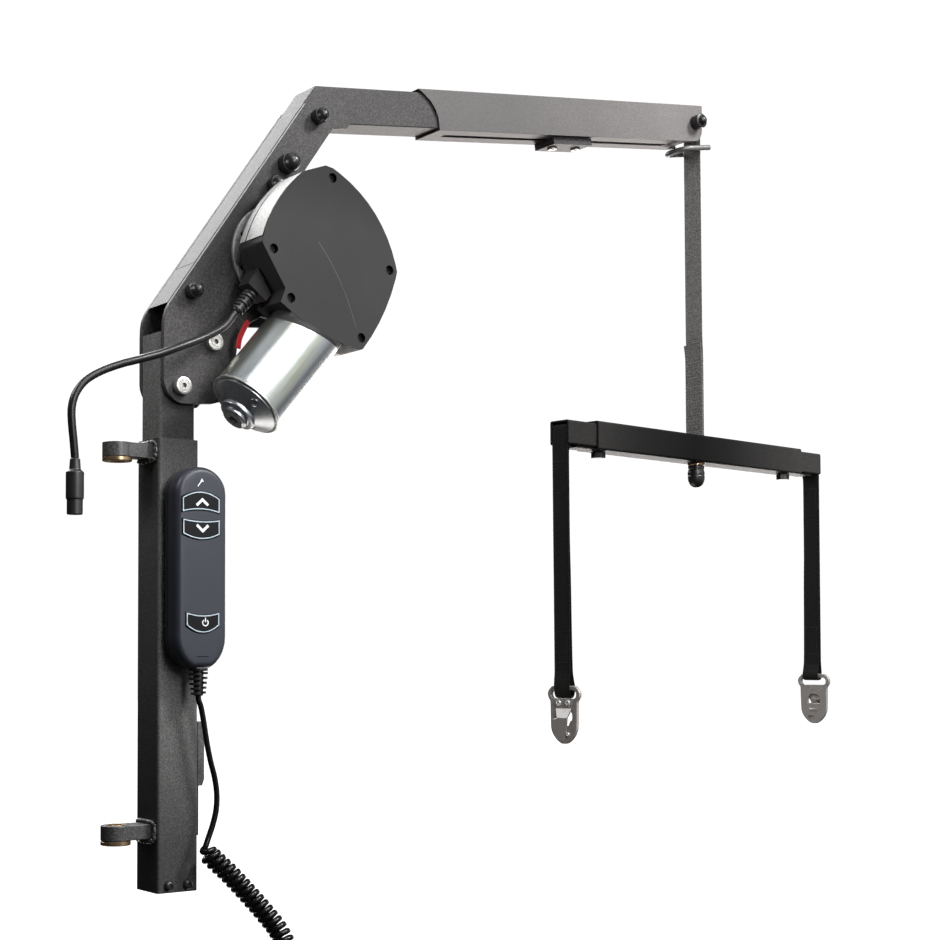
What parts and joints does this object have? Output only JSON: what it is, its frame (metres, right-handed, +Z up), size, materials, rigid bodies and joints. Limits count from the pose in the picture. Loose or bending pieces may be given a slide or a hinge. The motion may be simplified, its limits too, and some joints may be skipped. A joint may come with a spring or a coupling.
{
  "type": "car boot hoist",
  "caption": "Telescopic mast with two hinge eyes, cranked telescopic boom, worm-gear strap winch, swivelling spreader bar with strapped connectors, and a wired handset.",
  "frame": {"origin": "on the axis of the two hinge eyes, at the underside of the lower bush, where the hoist rests on its vehicle bracket", "axes": "+Z up along the hinge axis and the mast; +X from the hinge axis to the mast and out along the boom; +Y from the winch side to the plain side"},
  "size_m": [1.0239, 0.1372, 0.9915],
  "materials": {
    "powder_coat": "fine speckled graphite powder coat, satin",
    "bright_steel": "bright zinc plated steel",
    "bronze": "sintered bronze",
    "black_steel": "blackened steel, semi gloss",
    "black_plastic": "satin black moulded plastic",
    "handset_plastic": "dark blue grey moulded plastic",
    "key_pad": "soft key pad with pale printed outline",
    "webbing": "woven polyester webbing",
    "connector_metal": "grey coated steel plate",
    "cable": "glossy black cable jacket"
  },
  "bodies": {
    "mast": {"Outer_Mast_Tube": "powder_coat", "Mast_End_Plug": "black_plastic", "Mast_Screw_Left": "black_steel", "Mast_Screw_Right": "black_steel", "Lower_Hinge_Lug": "powder_coat", "Upper_Hinge_Lug": "powder_coat", "Lower_Lug_Bush": "bronze", "Upper_Lug_Bush": "bronze", "Mast_Side_Bracket": "powder_coat", "Handset_Holder": "black_plastic"},
    "boom": {"Inner_Mast_Tube": "powder_coat", "Knee_Cheek_Near": "powder_coat", "Knee_Cheek_Far": "powder_coat", "Boom_Tube": "powder_coat", "Knee_Cover_Plate": "powder_coat", "Head_Bolt_Lower": "bright_steel", "Head_Bolt_Upper": "bright_steel", "Axle_Bolt_Lower": "black_steel", "Axle_Bolt_Middle": "black_steel", "Axle_Bolt_Guide": "black_steel", "Axle_Bolt_Knee": "black_steel", "Gearbox_Flange": "bright_steel", "Gearbox_Housing": "black_plastic", "Gearbox_Cover": "black_plastic", "Motor_Can": "bright_steel", "Motor_End_Bell": "black_steel", "Lead_Plug": "black_plastic", "Power_Lead": "cable", "Power_Connector": "black_plastic", "Sleeve_Clamp_Block": "powder_coat", "Clamp_Screw_Left": "bright_steel", "Clamp_Screw_Right": "bright_steel"},
    "knee_roller": {"Knee_Roller": "black_plastic"},
    "drum": {"Strap_Drum": "black_steel"},
    "sleeve": {"Beam_Sleeve": "powder_coat", "Pulley_Axle": "black_steel", "Strap_Guide": "black_steel", "Strap_Over_Pulley": "webbing"},
    "end_pulley": {"End_Pulley": "black_plastic"},
    "lift": {"Lift_Strap": "webbing", "Swivel_Bolt": "black_steel", "Swivel_Washer": "bronze", "Swivel_Nut": "black_plastic"},
    "spreader": {"Spreader_Tube": "powder_coat", "Left_Arm_Bolt": "black_steel", "Right_Arm_Bolt": "black_steel"},
    "left_arm": {"Left_Arm": "powder_coat"},
    "right_arm": {"Right_Arm": "powder_coat"},
    "left_strap": {"Left_Strap": "webbing"},
    "right_strap": {"Right_Strap": "webbing"},
    "left_connector": {"Left_Connector": "connector_metal"},
    "right_connector": {"Right_Connector": "connector_metal"},
    "handset": {"Handset_Shell": "handset_plastic", "Handset_Relief": "black_plastic", "Handset_Lead": "cable", "Handset_Curly_Lead": "cable", "Handset_Plug": "black_plastic"},
    "up_button": {"Up_Button": "key_pad"},
    "down_button": {"Down_Button": "key_pad"},
    "power_button": {"Power_Button": "key_pad"}
  },
  "joints": [
    {"name": "mast_height", "type": "slide", "parent": "mast", "child": "boom", "axis": [0, 0, 1], "range_m": [-0.025, 0.15]},
    {"name": "boom_extension", "type": "slide", "parent": "boom", "child": "sleeve", "axis": [0.9894, 0, 0.145], "range_m": [-0.085, 0.11]},
    {"name": "lift", "type": "slide", "parent": "sleeve", "child": "lift", "axis": [0, 0, 1], "range_m": [-0.6, 0.21], "deforming": ["Lift_Strap"]},
    {"name": "drum_turn", "type": "hinge", "parent": "boom", "child": "drum", "pos_m": [0.1472, 0, 0.5263], "axis": [0, -1, 0], "continuous": true},
    {"name": "knee_roller_turn", "type": "hinge", "parent": "boom", "child": "knee_roller", "pos_m": [0.1938, 0, 0.6644], "axis": [0, -1, 0], "continuous": true},
    {"name": "end_pulley_turn", "type": "hinge", "parent": "sleeve", "child": "end_pulley", "pos_m": [0.7025, 0, 0.7533], "axis": [0, -1, 0], "continuous": true},
    {"name": "spreader_swivel", "type": "hinge", "parent": "lift", "child": "spreader", "pos_m": [0.72, 0, 0.3756], "axis": [0, 0, 1], "continuous": true},
    {"name": "left_arm_reach", "type": "slide", "parent": "spreader", "child": "left_arm", "axis": [-0.9936, -0.113, 0], "range_m": [0, 0.08]},
    {"name": "right_arm_reach", "type": "slide", "parent": "spreader", "child": "right_arm", "axis": [0.9936, 0.113, 0], "range_m": [0, 0.08]},
    {"name": "left_strap_swing", "type": "hinge", "parent": "left_arm", "child": "left_strap", "pos_m": [0.49684, -0.02539, 0.3906], "axis": [-0.113, 0.9936, 0], "range_deg": [-15, 15]},
    {"name": "right_strap_swing", "type": "hinge", "parent": "right_arm", "child": "right_strap", "pos_m": [0.94316, 0.02539, 0.3906], "axis": [-0.113, 0.9936, 0], "range_deg": [-15, 15]},
    {"name": "left_connector_swing", "type": "hinge", "parent": "left_strap", "child": "left_connector", "pos_m": [0.49684, -0.02539, 0.1281], "axis": [-0.113, 0.9936, 0], "range_deg": [-40, 40]},
    {"name": "right_connector_swing", "type": "hinge", "parent": "right_strap", "child": "right_connector", "pos_m": [0.94316, 0.02539, 0.1355], "axis": [-0.113, 0.9936, 0], "range_deg": [-40, 40]},
    {"name": "handset_pull_off", "type": "slide", "parent": "mast", "child": "handset", "axis": [0, -1, 0], "range_m": [0, 0.04]},
    {"name": "up_button_press", "type": "slide", "parent": "handset", "child": "up_button", "axis": [0, 1, 0], "range_m": [0, 0.001], "stiffness_N_per_m": 600},
    {"name": "down_button_press", "type": "slide", "parent": "handset", "child": "down_button", "axis": [0, 1, 0], "range_m": [0, 0.001], "stiffness_N_per_m": 600},
    {"name": "power_button_press", "type": "slide", "parent": "handset", "child": "power_button", "axis": [0, 1, 0], "range_m": [0, 0.001], "stiffness_N_per_m": 600}
  ],
  "couplings": [
    {"joint": "drum_turn", "follows": "lift", "rad_per_m": 43.8},
    {"joint": "knee_roller_turn", "follows": "lift", "rad_per_m": 92.2},
    {"joint": "end_pulley_turn", "follows": "lift", "rad_per_m": 60.8}
  ]
}
